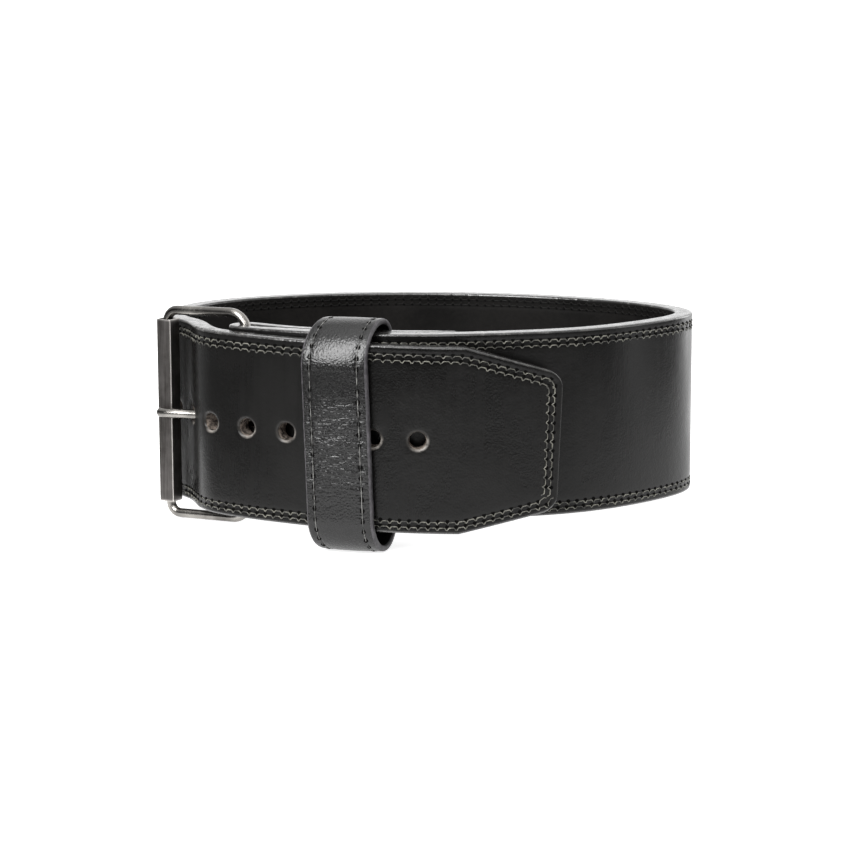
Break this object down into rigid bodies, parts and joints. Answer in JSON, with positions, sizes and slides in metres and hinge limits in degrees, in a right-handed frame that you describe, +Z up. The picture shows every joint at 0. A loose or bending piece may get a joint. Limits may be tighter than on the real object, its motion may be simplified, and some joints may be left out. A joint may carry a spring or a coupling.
{
  "type": "weightlifting belt",
  "caption": "Thick, stitched leather belt for lifting weights, fastened in an oval round an empty waist by a single-prong roller buckle, with a loose leather keeper over its clipped end",
  "frame": {"origin": "on the floor, below the middle of the belt's bounding box", "axes": "+X runs along the front to the viewer's right, from the roller towards the belt's tip; +Y from the front to the back of the waist; +Z up"},
  "size_m": [0.299, 0.2066, 0.1237],
  "materials": {
    "strap_leather": "smooth and satin, with painted, rounded edges",
    "keeper_leather": "glossy, with a pebbled and creased grain",
    "buckle_steel": "bright, lightly worn plated wire",
    "roller_steel": "dull grey folded sheet"
  },
  "bodies": {
    "root": {"strap": "strap_leather", "keeper": "keeper_leather", "buckle_frame": "buckle_steel", "prong": "buckle_steel", "roller": "roller_steel"}
  },
  "joints": []
}
